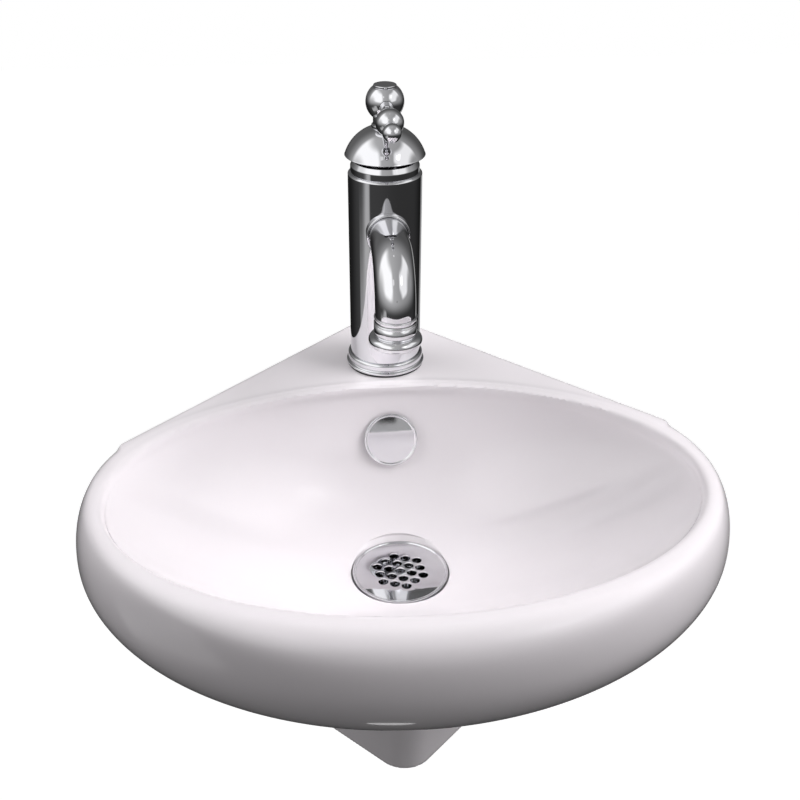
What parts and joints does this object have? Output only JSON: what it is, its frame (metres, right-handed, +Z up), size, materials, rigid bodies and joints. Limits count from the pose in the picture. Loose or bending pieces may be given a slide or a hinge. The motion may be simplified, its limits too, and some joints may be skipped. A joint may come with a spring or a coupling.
{
  "type": "corner basin",
  "caption": "Wall-hung oval corner basin with a flat triangular deck, a square shroud below, a single-lever tap, an overflow cover and a grid waste.",
  "frame": {"origin": "where the two room walls meet, at the height of the deck's top face", "axes": "+Z up, the walls run from the origin along X = Y and X = -Y on the -Y side, and the user stands on the -Y side"},
  "size_m": [0.4, 0.381, 0.4305],
  "materials": {
    "porcelain": "high gloss white glaze",
    "chrome": "polished",
    "brass": "turned",
    "steel": "machined",
    "black_rubber": "matt",
    "clear_gasket": "matt",
    "grey_plastic": "moulded"
  },
  "bodies": {
    "basin": {"basin": "porcelain", "basin_corner": "porcelain", "basin_shroud": "porcelain", "fixing_plate_left": "porcelain", "fixing_plate_right": "porcelain", "overflow_cover": "chrome", "waste_body": "chrome", "waste_gasket": "clear_gasket", "cone_gasket": "black_rubber", "slip_washer": "grey_plastic", "locknut": "brass", "tailpiece": "chrome", "tap_body": "chrome", "inlet_block": "brass", "foot_ring": "chrome", "foot_seal": "black_rubber", "spout": "chrome", "root_ring": "chrome", "outlet_neck": "chrome", "outlet_ring": "chrome", "aerator": "grey_plastic", "aerator_washer": "black_rubber", "cartridge": "grey_plastic", "cartridge_nut": "brass", "collar": "chrome", "stud": "steel", "fixing_gasket": "black_rubber", "fixing_washer": "steel", "fixing_nut": "brass"},
    "rotor": {"rotor": "steel", "stem_pin": "steel"},
    "handle": {"stem": "steel", "dome": "chrome", "grub_screw": "steel", "hub": "chrome", "hub_cap": "chrome", "lever_rod": "chrome", "lever_knob": "chrome", "lever_tip": "chrome"}
  },
  "joints": [
    {"name": "temperature_turn", "type": "hinge", "parent": "basin", "child": "rotor", "pos_m": [0, -0.081, 0.149], "axis": [0, 0, 1], "range_deg": [-45, 45]},
    {"name": "flow_lift", "type": "hinge", "parent": "rotor", "child": "handle", "pos_m": [0, -0.081, 0.152], "axis": [-1, 0, 0], "range_deg": [0, 18]}
  ]
}
